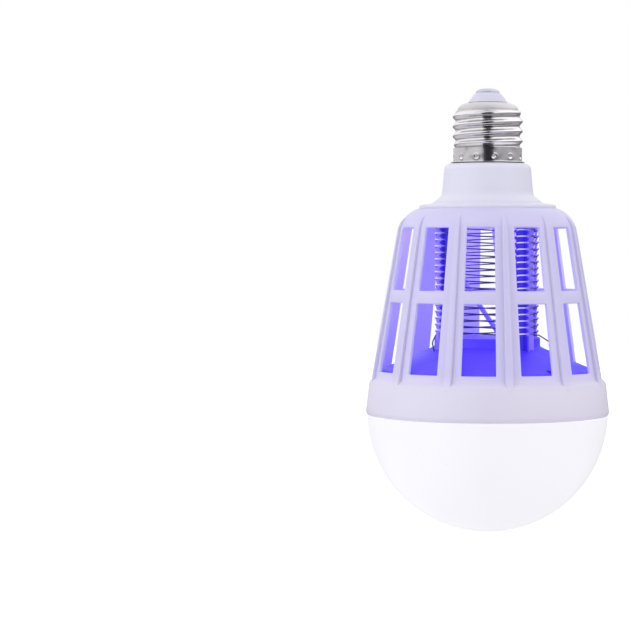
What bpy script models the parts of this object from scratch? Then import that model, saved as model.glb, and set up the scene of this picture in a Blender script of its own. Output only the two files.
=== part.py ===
# Insect killer light bulb: an E27 screw cap at the top, a neck that holds the driver, a windowed
# cage round a wire grid lit by ultraviolet LEDs, and an opal dome over a ring of white LEDs.
# The origin is the centre of the end contact's flat face. +Z points up into the lampholder and the
# bulb hangs below it, so every height here is negative. All sizes are in metres.

import math

import bmesh
import bpy
from mathutils import Matrix, Vector

# Fits and facets
gap = 0.0003
weld = 1e-6
round_segments = 36
neck_segments = 24
small_segments = 16
arc_steps = 5

# End contact and its insulator
contact_flat_radius = 0.0022
contact_radius = 0.00475
contact_thickness = 0.0012
stem_radius = 0.0013
stem_length = 0.0075
insulator_top_radius = 0.0051
insulator_foot_radius = 0.0073
insulator_height = 0.0032
insulator_flange_radius = 0.0078
insulator_flange_thickness = 0.0012

# Screw shell, E27
shell_mouth_radius = 0.0070
shell_sheet = 0.0006
shell_shoulder_radius = 0.0114
shell_shoulder_height = 0.0034
thread_crest_radius = 0.0131
thread_depth = 0.0011
thread_pitch = 0.00363
thread_length = 0.0135
thread_rows_per_pitch = 5
thread_crest_turn = 0.096
skirt_radius = 0.0128
skirt_height = 0.0053
skirt_rim_radius = 0.0138
skirt_rim_height = 0.0005

# Neck housing
neck_wall = 0.0018
neck_spigot_length = 0.0105
neck_top_radius = 0.0162
neck_spread = 0.0007
neck_corner_radius = 0.0024
neck_height = 0.0102
flare_width = 0.0070
flare_height = 0.0050
flare_rim_height = 0.0012
flare_rim_width = 0.00155
seat_spigot_height = 0.0026

# Cage
cage_wall = 0.0020
cage_seat_width = 0.0040
shoulder_arc_radius = 0.0105
shoulder_foot_radius = 0.0330
shoulder_height = 0.0083
wall_taper_deg = 9.6
wall_height = 0.0545
ledge_width = 0.0019
ring_taper_width = 0.0013
ring_height = 0.0112
ring_chamfer = 0.0005
ring_chamfer_height = 0.0011
tray_seat_drop = 0.0005
rib_count = 12
rib_fin_radius = 0.0012
rib_fin_lift = 0.00035
rib_fin_tip_drop = 0.0032

# Windows, measured down from the cage's top
window_top_drop = 0.0071
upper_window_height = 0.0231
rail_height = 0.0046
lower_window_height = 0.0256
window_top_width = 0.0102
window_foot_width = 0.0127

# Grid tower
top_plate_thickness = 0.0020
post_inset = 0.0110
post_count = 4
post_half_width = 0.0033
post_thickness = 0.0012
post_fin_width = 0.0011
post_fin_reach = 0.0017
post_peg_radius = 0.0009
notch_depth = 0.00045
wire_radius = 0.00025
wire_pitch = 0.00239
wire_count = 2
wire_bulge = 0.0012
wire_top_drop = 0.0016
wire_boss_gap = 0.00185

# Ultraviolet board and its LEDs
uv_board_radius = 0.0095
uv_board_thickness = 0.0010
uv_led_circle_radius = 0.0058
uv_led_count = 6
led_length = 0.0035
led_width = 0.0028
led_thickness = 0.0007

# Floor tray
tray_wall = 0.0016
boss_post_clearance = 0.0017
boss_height = 0.0035
tray_slope_deg = 24.0
tray_flange_thickness = 0.0020
tray_flange_width = 0.0035
drain_radius = 0.0010
drain_inset = 0.0024
drain_angle_deg = -49.0

# LED board, its LEDs and screws
board_thickness = 0.0016
white_led_inset = 0.0082
white_led_count = 12
screw_count = 3
screw_head_radius = 0.0019
screw_head_height = 0.0015
screw_shank_radius = 0.0009

# Opal dome
dome_wall = 0.0016
dome_spigot_height = 0.0050
dome_centre_rise = 0.0013

# Driver board and the leads. A component's width and depth, or its radius, is a share of the
# board's half width, and its height is a share of the board's height.
driver_thickness = 0.0012
transformer_shares = (0.72, 0.61, 0.60)
rectifier_shares = (0.40, 0.18, 0.25)
film_capacitor_shares = (0.65, 0.33, 0.39)
hv_capacitor_shares = (0.54, 0.29, 0.30)
reservoir_shares = (0.23, 0.66)
choke_shares = (0.22, 0.48)
lead_radius = 0.0006
led_lead_radius = 0.0009

# Heights, worked out downward from the contact face
contact_under_z = -contact_thickness
insulator_top_z = contact_under_z - gap
insulator_foot_z = insulator_top_z - insulator_height
shell_top_z = insulator_foot_z - gap
thread_top_z = shell_top_z - shell_shoulder_height
thread_foot_z = thread_top_z - thread_length
rim_top_z = thread_foot_z - skirt_height
shell_foot_z = rim_top_z - skirt_rim_height
neck_top_z = shell_foot_z - gap
flare_top_z = neck_top_z - neck_height
flare_foot_z = flare_top_z - flare_height
neck_rim_z = flare_foot_z - flare_rim_height
cage_top_z = neck_rim_z - gap
shoulder_foot_z = cage_top_z - shoulder_height
wall_foot_z = shoulder_foot_z - wall_height
ring_top_z = wall_foot_z - ledge_width
ring_edge_z = ring_top_z - ring_height
ring_foot_z = ring_edge_z - ring_chamfer_height
upper_window_z = cage_top_z - window_top_drop
rail_top_z = upper_window_z - upper_window_height
rail_foot_z = rail_top_z - rail_height
sill_z = rail_foot_z - lower_window_height
top_plate_z = neck_rim_z - seat_spigot_height - gap
plate_under_z = top_plate_z - top_plate_thickness
tray_seat_z = ring_top_z - tray_seat_drop
flange_top_z = tray_seat_z - gap
flange_under_z = flange_top_z - tray_flange_thickness
led_board_z = flange_under_z - gap
led_board_under_z = led_board_z - board_thickness
dome_top_z = ring_foot_z - gap
spigot_top_z = neck_top_z + neck_spigot_length
stem_foot_z = contact_under_z - stem_length
driver_foot_z = top_plate_z + gap
driver_top_z = neck_top_z - neck_wall - 2 * gap

# Radii and slopes that follow from those sizes
thread_root_radius = thread_crest_radius - thread_depth
bore_radius = thread_root_radius - shell_sheet
spigot_radius = bore_radius - gap
neck_foot_radius = neck_top_radius + neck_spread
flare_radius = neck_foot_radius + flare_width
driver_half_width = neck_top_radius - neck_wall - 2 * gap
driver_height = driver_top_z - driver_foot_z
neck_rim_radius = flare_radius + flare_rim_width
seat_radius = neck_rim_radius - cage_seat_width
seat_spigot_radius = seat_radius - gap
wall_taper = math.radians(wall_taper_deg)
wall_slope = math.tan(wall_taper)
wall_foot_radius = shoulder_foot_radius + wall_height * wall_slope
ring_top_radius = wall_foot_radius + ledge_width
ring_radius = ring_top_radius + ring_taper_width
ring_inner_radius = ring_top_radius - cage_wall
dome_radius = ring_radius - ring_chamfer
dome_spigot_radius = dome_radius - cage_wall - gap
tray_slope = math.tan(math.radians(tray_slope_deg))
shoulder_centre = (
    shoulder_foot_radius - shoulder_arc_radius * math.cos(wall_taper),
    shoulder_foot_z - shoulder_arc_radius * math.sin(wall_taper),
)
shoulder_inner_radius = shoulder_arc_radius - cage_wall
post_circle_radius = shoulder_foot_radius - post_inset
boss_radius = post_circle_radius - post_thickness / 2 - boss_post_clearance
wire_step = wire_pitch * wire_count / post_count


def wall_inner_radius(height):
    # The inner face of the cage's tapered wall.
    outer = shoulder_foot_radius + (shoulder_foot_z - height) * wall_slope
    return outer - cage_wall / math.cos(wall_taper)


tray_rim_radius = wall_inner_radius(sill_z) - gap
skirt_inner_radius = tray_rim_radius - tray_wall
tray_flange_inner_radius = skirt_inner_radius - tray_flange_width
screw_circle_radius = (skirt_inner_radius + tray_flange_inner_radius) / 2
white_led_circle_radius = screw_circle_radius - white_led_inset
drain_circle_radius = tray_rim_radius - drain_inset
boss_foot_z = sill_z + (tray_rim_radius - boss_radius) * tray_slope
boss_top_z = boss_foot_z + boss_height


def cone_height(radius):
    # The top of the tray's sloping floor.
    return boss_foot_z - (radius - boss_radius) * tray_slope


def make_collection(name):
    made = bpy.data.collections.new(name)
    bpy.context.scene.collection.children.link(made)
    return made


def make_material(name, colour, roughness, metallic=0.0):
    material = bpy.data.materials.new(name)
    material.use_nodes = True
    shader = material.node_tree.nodes["Principled BSDF"]
    shader.inputs["Base Color"].default_value = (*colour, 1.0)
    shader.inputs["Roughness"].default_value = roughness
    shader.inputs["Metallic"].default_value = metallic
    return material


for old in list(bpy.data.objects):
    bpy.data.objects.remove(old, do_unlink=True)
parts = make_collection("insect_killer_bulb")
cutters = make_collection("cutters")

nickel = make_material("nickel", (0.78, 0.76, 0.74), 0.22, 1.0)
white_plastic = make_material("white_plastic", (0.82, 0.80, 0.88), 0.42)
violet_plastic = make_material("violet_lit_plastic", (0.30, 0.24, 0.90), 0.45)
opal_plastic = make_material("opal_plastic", (0.92, 0.92, 0.95), 0.35)
grid_steel = make_material("grid_steel", (0.55, 0.54, 0.58), 0.25, 1.0)
board_white = make_material("board_white", (0.85, 0.86, 0.85), 0.5)
board_brown = make_material("board_brown", (0.42, 0.30, 0.16), 0.6)
led_yellow = make_material("led_phosphor", (0.90, 0.76, 0.25), 0.4)
led_violet = make_material("led_ultraviolet", (0.50, 0.42, 0.95), 0.3)
black_plastic = make_material("black_plastic", (0.03, 0.03, 0.035), 0.5)
yellow_tape = make_material("yellow_tape", (0.80, 0.62, 0.12), 0.45)
film_red = make_material("film_red", (0.55, 0.12, 0.07), 0.4)
ceramic_blue = make_material("ceramic_blue", (0.12, 0.24, 0.55), 0.4)
lead_white = make_material("lead_white", (0.80, 0.79, 0.84), 0.5)
lead_red = make_material("lead_red", (0.62, 0.06, 0.05), 0.5)
screw_steel = make_material("screw_steel", (0.62, 0.62, 0.64), 0.3, 1.0)


def smooth(mesh, angle_deg=35.0):
    mesh.shade_smooth()
    mesh.set_sharp_from_angle(angle=math.radians(angle_deg))


def add_object(name, data, material, collection=parts):
    made = bpy.data.objects.new(name, data)
    collection.objects.link(made)
    data.materials.append(material)
    if collection == cutters:
        made.hide_render = True
        made.display_type = "WIRE"
    return made


def bake(made):
    # Turns the shape that the modifiers or the curve give into a plain closed mesh.
    bpy.context.view_layer.update()
    graph = bpy.context.evaluated_depsgraph_get()
    mesh = bpy.data.meshes.new_from_object(made.evaluated_get(graph))
    shape = bmesh.new()
    shape.from_mesh(mesh)
    bmesh.ops.remove_doubles(shape, verts=shape.verts, dist=weld)
    shape.to_mesh(mesh)
    shape.free()
    smooth(mesh)
    name = made.name
    material = made.data.materials[0]
    collection = made.users_collection[0]
    matrix = made.matrix_world.copy()
    bpy.data.objects.remove(made, do_unlink=True)
    mesh.materials.clear()
    baked = add_object(name, mesh, material, collection)
    baked.matrix_world = matrix
    return baked


def turned(name, outline, material, closed=True, segments=round_segments, collection=parts):
    # The outline is (radius, height) pairs and runs down its outer side.
    mesh = bpy.data.meshes.new(name)
    points = [(radius, 0.0, height) for radius, height in outline]
    edges = [(i, i + 1) for i in range(len(points) - 1)]
    if closed:
        edges.append((len(points) - 1, 0))
    mesh.from_pydata(points, edges, [])
    made = add_object(name, mesh, material, collection)
    turn = made.modifiers.new("Turn", "SCREW")
    turn.steps = segments
    turn.render_steps = segments
    turn.use_merge_vertices = True
    turn.merge_threshold = weld
    return bake(made)


def arc(centre, radii, start_deg, end_deg, steps=arc_steps):
    # Points on an ellipse about a centre, from one angle to another, both ends included.
    points = []
    for i in range(steps + 1):
        angle = math.radians(start_deg + (end_deg - start_deg) * i / steps)
        points.append(
            (centre[0] + radii[0] * math.cos(angle), centre[1] + radii[1] * math.sin(angle))
        )
    return points


def tube(name, points, radius, material, widths=None, resolution=1, collection=parts):
    curve = bpy.data.curves.new(name, "CURVE")
    curve.dimensions = "3D"
    curve.bevel_depth = radius
    curve.bevel_resolution = resolution
    curve.use_fill_caps = True
    spline = curve.splines.new("POLY")
    spline.points.add(len(points) - 1)
    for i, point in enumerate(points):
        spline.points[i].co = (*point, 1.0)
        spline.points[i].radius = widths[i] if widths else 1.0
    return bake(add_object(name, curve, material, collection))


def flat_outline(name, outline, thickness, axes, material, collection=parts):
    # A flat closed outline, thickened, whose own x, y and z then lie along the given axes.
    curve = bpy.data.curves.new(name, "CURVE")
    curve.dimensions = "2D"
    curve.fill_mode = "BOTH"
    curve.extrude = thickness / 2
    spline = curve.splines.new("POLY")
    spline.points.add(len(outline) - 1)
    for place, (across, up) in zip(spline.points, outline):
        place.co = (across, up, 0.0, 1.0)
    spline.use_cyclic_u = True
    made = bake(add_object(name, curve, material, collection))
    made.data.transform(Matrix(axes).transposed().to_4x4())
    return made


def cylinder(name, radius, height, centre, material, segments=10, collection=parts):
    shape = bmesh.new()
    bmesh.ops.create_cone(
        shape, cap_ends=True, segments=segments, radius1=radius, radius2=radius, depth=height
    )
    mesh = bpy.data.meshes.new(name)
    shape.to_mesh(mesh)
    shape.free()
    smooth(mesh)
    made = add_object(name, mesh, material, collection)
    made.location = centre
    return made


def box(name, size, centre, material, angle=0.0, collection=parts):
    shape = bmesh.new()
    bmesh.ops.create_cube(shape, size=1.0)
    bmesh.ops.scale(shape, vec=size, verts=shape.verts)
    mesh = bpy.data.meshes.new(name)
    shape.to_mesh(mesh)
    shape.free()
    made = add_object(name, mesh, material, collection)
    made.location = centre
    made.rotation_euler = (0.0, 0.0, angle)
    return made


def merged(name, pieces):
    # One cutter that holds several separate closed pieces.
    bpy.context.view_layer.update()
    shape = bmesh.new()
    for piece in pieces:
        piece.data.transform(piece.matrix_world)
        shape.from_mesh(piece.data)
        bpy.data.objects.remove(piece, do_unlink=True)
    mesh = bpy.data.meshes.new(name)
    shape.to_mesh(mesh)
    shape.free()
    return add_object(name, mesh, white_plastic, cutters)


def boolean(made, other, operation):
    step = made.modifiers.new(other.name, "BOOLEAN")
    step.object = other
    step.operation = operation
    step.solver = "EXACT"


def drilled(made, holes, top, foot):
    # Cuts upright round holes, each given as (x, y, radius), between two heights.
    middle = (top + foot) / 2
    drills = [
        cylinder("drill", radius, top - foot, (x, y, middle), white_plastic, 8)
        for x, y, radius in holes
    ]
    boolean(made, merged(f"{made.name}_holes", drills), "DIFFERENCE")
    return bake(made)


def polar(radius, angle, height):
    return Vector((radius * math.cos(angle), radius * math.sin(angle), height))


def ring_of(count, radius, height, start=0.0):
    # Places and turns of a number of like pieces round the axis.
    angles = [start + math.tau * i / count for i in range(count)]
    return [(polar(radius, angle, height), angle) for angle in angles]


def contact_rivet():
    edge_radii = (contact_radius - contact_flat_radius, contact_thickness)
    outline = [(0.0, 0.0)]
    outline += arc((contact_flat_radius, contact_under_z), edge_radii, 90.0, 0.0, 4)
    outline += [(stem_radius, contact_under_z), (stem_radius, stem_foot_z), (0.0, stem_foot_z)]
    turned("contact_rivet", outline, nickel, closed=False, segments=small_segments)


def cap_insulator():
    bore = stem_radius + gap
    throat = shell_mouth_radius - gap
    flange_z = shell_top_z - shell_sheet - gap
    flange_foot_z = flange_z - insulator_flange_thickness
    spread = insulator_foot_radius - insulator_top_radius
    outline = [(bore, insulator_top_z)]
    for share in (0.0, 0.35, 0.7, 1.0):
        # The cone steepens a little toward its top edge.
        height = insulator_top_z - insulator_height * share**1.2
        outline.append((insulator_top_radius + spread * share, height))
    outline += [(throat, insulator_foot_z), (throat, flange_z)]
    outline += [(insulator_flange_radius, flange_z), (insulator_flange_radius, flange_foot_z)]
    outline += [(bore, flange_foot_z)]
    turned("cap_insulator", outline, white_plastic, segments=small_segments)


def thread_radius(angle, height):
    # A right-handed thread climbs one pitch for each turn anticlockwise, seen from above.
    phase = (height - thread_top_z) / thread_pitch - angle / math.tau + thread_crest_turn
    wave = 0.5 + 0.5 * math.cos(math.tau * phase)
    run_out = min(1.0, 2.0 * (thread_top_z - height) / thread_pitch)
    return thread_root_radius + thread_depth * wave * run_out


def screw_shell():
    rows = round(thread_length / thread_pitch * thread_rows_per_pitch)
    row_height = thread_length / rows
    spread = shell_shoulder_radius - shell_mouth_radius
    outer_radii = (spread, shell_shoulder_height)
    inner_radii = (spread - shell_sheet, shell_shoulder_height - shell_sheet)
    outline = arc((shell_mouth_radius, thread_top_z), outer_radii, 90.0, 0.0, 4)
    outline += [(thread_root_radius, thread_top_z - row_height * i) for i in range(1, rows)]
    outline += [(skirt_radius, thread_foot_z), (skirt_radius, rim_top_z)]
    outline += [(skirt_rim_radius, shell_foot_z), (bore_radius, shell_foot_z)]
    outline += [(bore_radius, thread_top_z - row_height)]
    outline += arc((shell_mouth_radius, thread_top_z), inner_radii, 0.0, 90.0, 3)
    made = turned("screw_shell", outline, nickel, segments=neck_segments)
    for vertex in made.data.vertices:
        x, y, height = vertex.co
        radius = math.hypot(x, y)
        threaded = thread_foot_z + row_height / 2 < height < thread_top_z - row_height / 2
        if threaded and abs(radius - thread_root_radius) < weld:
            scale = thread_radius(math.atan2(y, x), height) / radius
            vertex.co.x = x * scale
            vertex.co.y = y * scale
    smooth(made.data, 60.0)


def neck_housing():
    bore = spigot_radius - neck_wall
    corner = (neck_top_radius - neck_corner_radius, neck_top_z - neck_corner_radius)
    flare_centre = (flare_radius, flare_top_z)
    inner_radii = (flare_width + neck_wall, flare_height + neck_wall)
    seat_foot_z = neck_rim_z - seat_spigot_height
    seat_bore = seat_spigot_radius - neck_wall
    seat_deg = math.degrees(math.acos((flare_radius - seat_bore) / inner_radii[0]))
    outline = [(bore, spigot_top_z), (spigot_radius, spigot_top_z), (spigot_radius, neck_top_z)]
    outline += arc(corner, (neck_corner_radius, neck_corner_radius), 90.0, 0.0, 3)
    outline += arc(flare_centre, (flare_width, flare_height), 180.0, 270.0)
    outline += [(neck_rim_radius, neck_rim_z), (seat_spigot_radius, neck_rim_z)]
    outline += [(seat_spigot_radius, seat_foot_z), (seat_bore, seat_foot_z)]
    outline += arc(flare_centre, inner_radii, 180.0 + seat_deg, 180.0, 2)
    outline += [(neck_top_radius - neck_wall, corner[1]), (corner[0], neck_top_z - neck_wall)]
    outline += [(bore, neck_top_z - neck_wall)]
    turned("neck_housing", outline, white_plastic, segments=neck_segments)


def shoulder_arc(radius, top_z, steps):
    # The shoulder's rounded section, from a height down to where the tapered wall starts.
    top_deg = math.degrees(math.asin((top_z - shoulder_centre[1]) / radius))
    return arc(shoulder_centre, (radius, radius), top_deg, wall_taper_deg, steps)


def cage_body():
    outline = [(seat_radius, cage_top_z)]
    outline += shoulder_arc(shoulder_arc_radius, cage_top_z, 6)
    outline += [(wall_foot_radius, wall_foot_z), (ring_top_radius, ring_top_z)]
    outline += [(ring_radius, ring_edge_z), (dome_radius, ring_foot_z)]
    outline += [(dome_radius - cage_wall, ring_foot_z), (ring_radius - cage_wall, ring_edge_z)]
    outline += [(ring_inner_radius, tray_seat_z), (wall_inner_radius(tray_seat_z), tray_seat_z)]
    outline += reversed(shoulder_arc(shoulder_inner_radius, cage_top_z - cage_wall, 3))
    outline += [(seat_radius, cage_top_z - cage_wall)]
    return turned("cage", outline, white_plastic)


def window_cutter(top, foot, angle):
    # A prism through the wall whose sides spread toward its foot, as the ribs between do.
    near = seat_radius
    far = ring_radius + cage_wall
    spread = (window_foot_width - window_top_width) / (upper_window_z - sill_z)
    made = box("window", (1.0, 1.0, 1.0), (0.0, 0.0, 0.0), white_plastic, angle)
    for vertex in made.data.vertices:
        height = top if vertex.co.z > 0 else foot
        half_width = (window_top_width + (upper_window_z - height) * spread) / 2
        vertex.co.x = far if vertex.co.x > 0 else near
        vertex.co.y = half_width if vertex.co.y > 0 else -half_width
        vertex.co.z = height
    return made


def rib_fin(angle):
    # A round-nosed fin that rises out of the shoulder, follows the wall and dies into the ring.
    line = []
    for lift, arc_deg in ((-2.3, 54.0), (-0.3, 40.0), (0.8, 25.0), (1.0, wall_taper_deg)):
        reach = shoulder_arc_radius + rib_fin_lift * lift
        turn = math.radians(arc_deg)
        across = shoulder_centre[0] + reach * math.cos(turn)
        line.append((across, shoulder_centre[1] + reach * math.sin(turn)))
    line.append((wall_foot_radius + rib_fin_lift, wall_foot_z))
    line.append((ring_top_radius - rib_fin_radius / 2, ring_top_z - rib_fin_tip_drop))
    points = [polar(radius, angle, height) for radius, height in line]
    widths = (0.75, 0.85, 0.95, 1.0, 1.15, 0.75)
    return tube("fin", points, rib_fin_radius, white_plastic, widths)


def cage():
    made = cage_body()
    step = math.tau / rib_count
    bays = [-math.pi / 2 + step * i for i in range(rib_count)]
    rows = ((upper_window_z, rail_top_z), (rail_foot_z, sill_z))
    windows = [window_cutter(top, foot, angle) for angle in bays for top, foot in rows]
    boolean(made, merged("window_cutter", windows), "DIFFERENCE")
    fins = [rib_fin(angle + step / 2) for angle in bays]
    boolean(made, merged("rib_fins", fins), "UNION")
    bake(made)


def post_angle(index):
    return -math.pi / 4 + math.tau * index / post_count


def wire_heights():
    # Where the wires cross the posts, from the lowest crossing up, one step for each post passed.
    lowest = boss_top_z + wire_boss_gap
    room = plate_under_z - wire_top_drop - lowest
    return [lowest + wire_step * i for i in range(int(room / wire_step) + 1)]


def wire_route(index):
    # One grid wire, from its top end down. It laps the posts anticlockwise, stands proud of each
    # post's edges, and after its last post runs out to a hole in the floor.
    last_post = index * post_count // wire_count
    edge = post_half_width - notch_depth + wire_bulge
    face = post_thickness / 2 + 2 * gap + wire_radius
    inside = post_half_width - 2 * gap
    lap = ((-edge, gap / 3), (-inside, face), (inside, face), (edge, gap / 3))
    points = []
    for i, height in reversed(list(enumerate(wire_heights()))):
        angle = post_angle(last_post - i)
        outward = polar(1.0, angle, 0.0)
        across = Vector((-outward.y, outward.x, 0.0))
        for j, (side, out) in enumerate(lap):
            point = outward * (post_circle_radius + out) + across * side
            point.z = height - wire_step * (j - 1.5) / 12
            points.append(point)
    top = Vector((points[0].x, points[0].y, plate_under_z + top_plate_thickness / 2))
    return [top, *points, *wire_tail(index)]


def wire_tail(index):
    # Each point is a share of the posts' circle, an angle and a share of the way from the last
    # crossing to the floor.
    routes = (
        ((0.964, -22.0, 0.12), (1.073, 0.5, 0.55), (1.173, 4.2, 0.78), (1.195, 4.6, 1.0)),
        ((1.036, -157.0, 0.12), (1.086, -149.0, 0.4), (1.073, -147.0, 0.7), (1.091, -148.0, 1.0)),
    )
    start_z = wire_heights()[0]
    points = []
    for reach, angle_deg, share in routes[index]:
        radius = reach * post_circle_radius
        height = start_z + (cone_height(radius) - start_z) * share
        points.append(polar(radius, math.radians(angle_deg), height))
    return [*points, points[-1] - Vector((0.0, 0.0, tray_wall))]


def lead_route(index):
    # The insulated leads cross the inside of the tower, from the top plate to the boss. Each point
    # is x and y as shares of the posts' circle and a share of the way down, and the ends run
    # straight through their holes.
    routes = (
        ((0.064, 0.509, 0.0), (0.150, 0.509, 0.38), (0.273, 0.477, 0.78), (0.309, 0.455, 1.0)),
        ((-0.509, -0.136, 0.0), (-0.505, -0.136, 0.30), (-0.382, -0.136, 0.51),
         (-0.114, -0.136, 0.73), (0.155, -0.136, 0.93), (0.209, -0.136, 1.0)),
    )
    points = []
    for x, y, share in routes[index]:
        height = plate_under_z + (boss_top_z - plate_under_z) * share
        points.append(Vector((x * post_circle_radius, y * post_circle_radius, height)))
    head = Vector((points[0].x, points[0].y, top_plate_z + top_plate_thickness))
    foot = Vector((points[-1].x, points[-1].y, led_board_z + gap))
    return [head, *points, foot]


def grid_top_plate():
    rise = top_plate_z - shoulder_centre[1]
    radius = shoulder_centre[0] + math.sqrt(shoulder_inner_radius**2 - rise**2) - gap
    centre = (0.0, 0.0, top_plate_z - top_plate_thickness / 2)
    made = cylinder(
        "grid_top_plate", radius, top_plate_thickness, centre, white_plastic, round_segments
    )
    holes = [
        (*spot.xy, post_peg_radius + gap)
        for spot, _ in ring_of(post_count, post_circle_radius, 0.0, post_angle(0))
    ]
    holes += [(*wire_route(i)[0].xy, wire_radius + gap) for i in range(wire_count)]
    holes += [(*lead_route(i)[0].xy, led_lead_radius + gap) for i in range(2)]
    drilled(made, holes, top_plate_z + gap, plate_under_z - gap)


def toothed(reach, root, half_mouth, heights, top, foot):
    # The long edge of a post, from its foot to its top, notched wherever a wire crosses it.
    edge = [(reach, foot)]
    for height in heights:
        edge += [(reach, height - half_mouth), (root, height), (reach, height + half_mouth)]
    return [*edge, (reach, top)]


def grid_post(index, floor):
    name = f"grid_post_{index + 1}"
    apart = post_count // wire_count
    heights = [height for i, height in enumerate(wire_heights()) if (i + index) % apart == 0]
    top = plate_under_z - gap
    foot = cone_height(post_circle_radius + 2 * post_fin_reach)
    root = post_half_width - notch_depth
    right = toothed(post_half_width, root, wire_pitch * 0.34, heights, top, foot)
    left = [(-across, up) for across, up in reversed(right)]
    upright = ((1, 0, 0), (0, 0, 1), (0, -1, 0))
    made = flat_outline(name, right + left, post_thickness, upright, violet_plastic)

    outer = post_thickness / 2 + post_fin_reach
    fin = toothed(outer, post_thickness / 4, wire_pitch * 0.42, heights, top, foot)
    fin += [(0.0, top), (0.0, foot)]
    sideways = ((0, 1, 0), (0, 0, 1), (1, 0, 0))
    web = flat_outline(f"{name}_fin", fin, post_fin_width, sideways, violet_plastic, cutters)

    peg_foot = cone_height(post_circle_radius) - tray_wall
    reach = post_peg_radius * 4
    pegs = [
        cylinder("peg", post_peg_radius, reach, (0, 0, top_plate_z - reach / 2), violet_plastic, 8),
        cylinder("peg", post_peg_radius, reach, (0, 0, peg_foot + reach / 2), violet_plastic, 8),
    ]
    ends = merged(f"{name}_pegs", pegs)
    angle = post_angle(index)
    stand = Matrix.Translation(polar(post_circle_radius, angle, 0.0))
    stand = stand @ Matrix.Rotation(angle - math.pi / 2, 4, "Z")
    for piece in (made, web, ends):
        piece.matrix_world = stand
    boolean(made, web, "UNION")
    boolean(made, floor, "DIFFERENCE")
    boolean(made, ends, "UNION")
    bake(made)


def floor_clearance():
    # Everything below the sloping floor's top face, raised by one gap, where the posts stand.
    rise = gap / math.cos(math.radians(tray_slope_deg))
    inner = post_circle_radius - post_half_width
    outer = post_circle_radius + post_half_width * 2
    outline = [(inner, cone_height(inner) + rise), (outer, cone_height(outer) + rise)]
    outline += [(outer, ring_foot_z), (inner, ring_foot_z)]
    return turned("floor_clearance", outline, white_plastic, collection=cutters)


def grid_wires():
    for index, name in enumerate(("live_grid_wire", "return_grid_wire")):
        tube(name, wire_route(index), wire_radius, grid_steel, resolution=0)


def led_leads():
    for index, material in enumerate((lead_red, lead_white)):
        tube(f"led_lead_{index + 1}", lead_route(index), led_lead_radius, material)


def led(name, place, angle, material):
    box(name, (led_width, led_length, led_thickness), place, material, angle)


def uv_lights():
    board_z = plate_under_z - gap - uv_board_thickness / 2
    cylinder(
        "uv_board", uv_board_radius, uv_board_thickness, (0, 0, board_z), board_white, small_segments
    )
    led_z = board_z - uv_board_thickness / 2 - gap - led_thickness / 2
    for i, (place, angle) in enumerate(ring_of(uv_led_count, uv_led_circle_radius, led_z)):
        led(f"uv_led_{i + 1}", place, angle, led_violet)


def floor_tray():
    under_drop = tray_wall / math.cos(math.radians(tray_slope_deg))
    inner_boss = boss_radius - tray_wall
    flange_radius = ring_inner_radius - gap
    ceiling_z = flange_top_z - 2 * gap
    outline = [(0.0, boss_top_z), (boss_radius, boss_top_z), (boss_radius, boss_foot_z)]
    outline += [(tray_rim_radius, sill_z), (tray_rim_radius, flange_top_z)]
    outline += [(flange_radius, flange_top_z), (flange_radius, flange_under_z)]
    outline += [(tray_flange_inner_radius, flange_under_z)]
    outline += [(tray_flange_inner_radius, ceiling_z), (skirt_inner_radius, ceiling_z)]
    outline += [(skirt_inner_radius, cone_height(skirt_inner_radius) - under_drop)]
    outline += [(inner_boss, cone_height(inner_boss) - under_drop)]
    outline += [(inner_boss, boss_top_z - tray_wall), (0.0, boss_top_z - tray_wall)]
    made = turned("floor_tray", outline, violet_plastic, closed=False)
    holes = [
        (*spot.xy, post_peg_radius + gap)
        for spot, _ in ring_of(post_count, post_circle_radius, 0.0, post_angle(0))
    ]
    holes += [(*wire_route(i)[-1].xy, wire_radius + gap) for i in range(wire_count)]
    holes += [(*lead_route(i)[-1].xy, led_lead_radius + gap) for i in range(2)]
    holes += [(*polar(drain_circle_radius, math.radians(drain_angle_deg), 0.0).xy, drain_radius)]
    made = drilled(made, holes, boss_top_z + gap, ceiling_z + gap)
    drilled(made, screw_holes(), flange_top_z + gap, flange_under_z - gap)


def screw_spots():
    return [spot for spot, _ in ring_of(screw_count, screw_circle_radius, 0.0, math.pi / 2)]


def screw_holes():
    return [(*spot.xy, screw_shank_radius + gap) for spot in screw_spots()]


def board_screws():
    head_z = led_board_under_z - gap
    shank_top_z = flange_top_z - gap
    outline = [(0.0, shank_top_z), (screw_shank_radius, shank_top_z), (screw_shank_radius, head_z)]
    outline += [(screw_head_radius, head_z), (screw_head_radius, head_z - screw_head_height)]
    outline += [(0.0, head_z - screw_head_height)]
    for i, spot in enumerate(screw_spots()):
        name = f"board_screw_{i + 1}"
        made = turned(name, outline, screw_steel, closed=False, segments=10)
        made.location = spot


def led_board():
    radius = ring_inner_radius - gap
    centre = (0.0, 0.0, led_board_z - board_thickness / 2)
    made = cylinder("led_board", radius, board_thickness, centre, board_white, round_segments)
    drilled(made, screw_holes(), led_board_z + gap, led_board_under_z - gap)
    led_z = led_board_under_z - gap - led_thickness / 2
    for i, (place, angle) in enumerate(ring_of(white_led_count, white_led_circle_radius, led_z)):
        led(f"white_led_{i + 1:02d}", place, angle, led_yellow)


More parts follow.
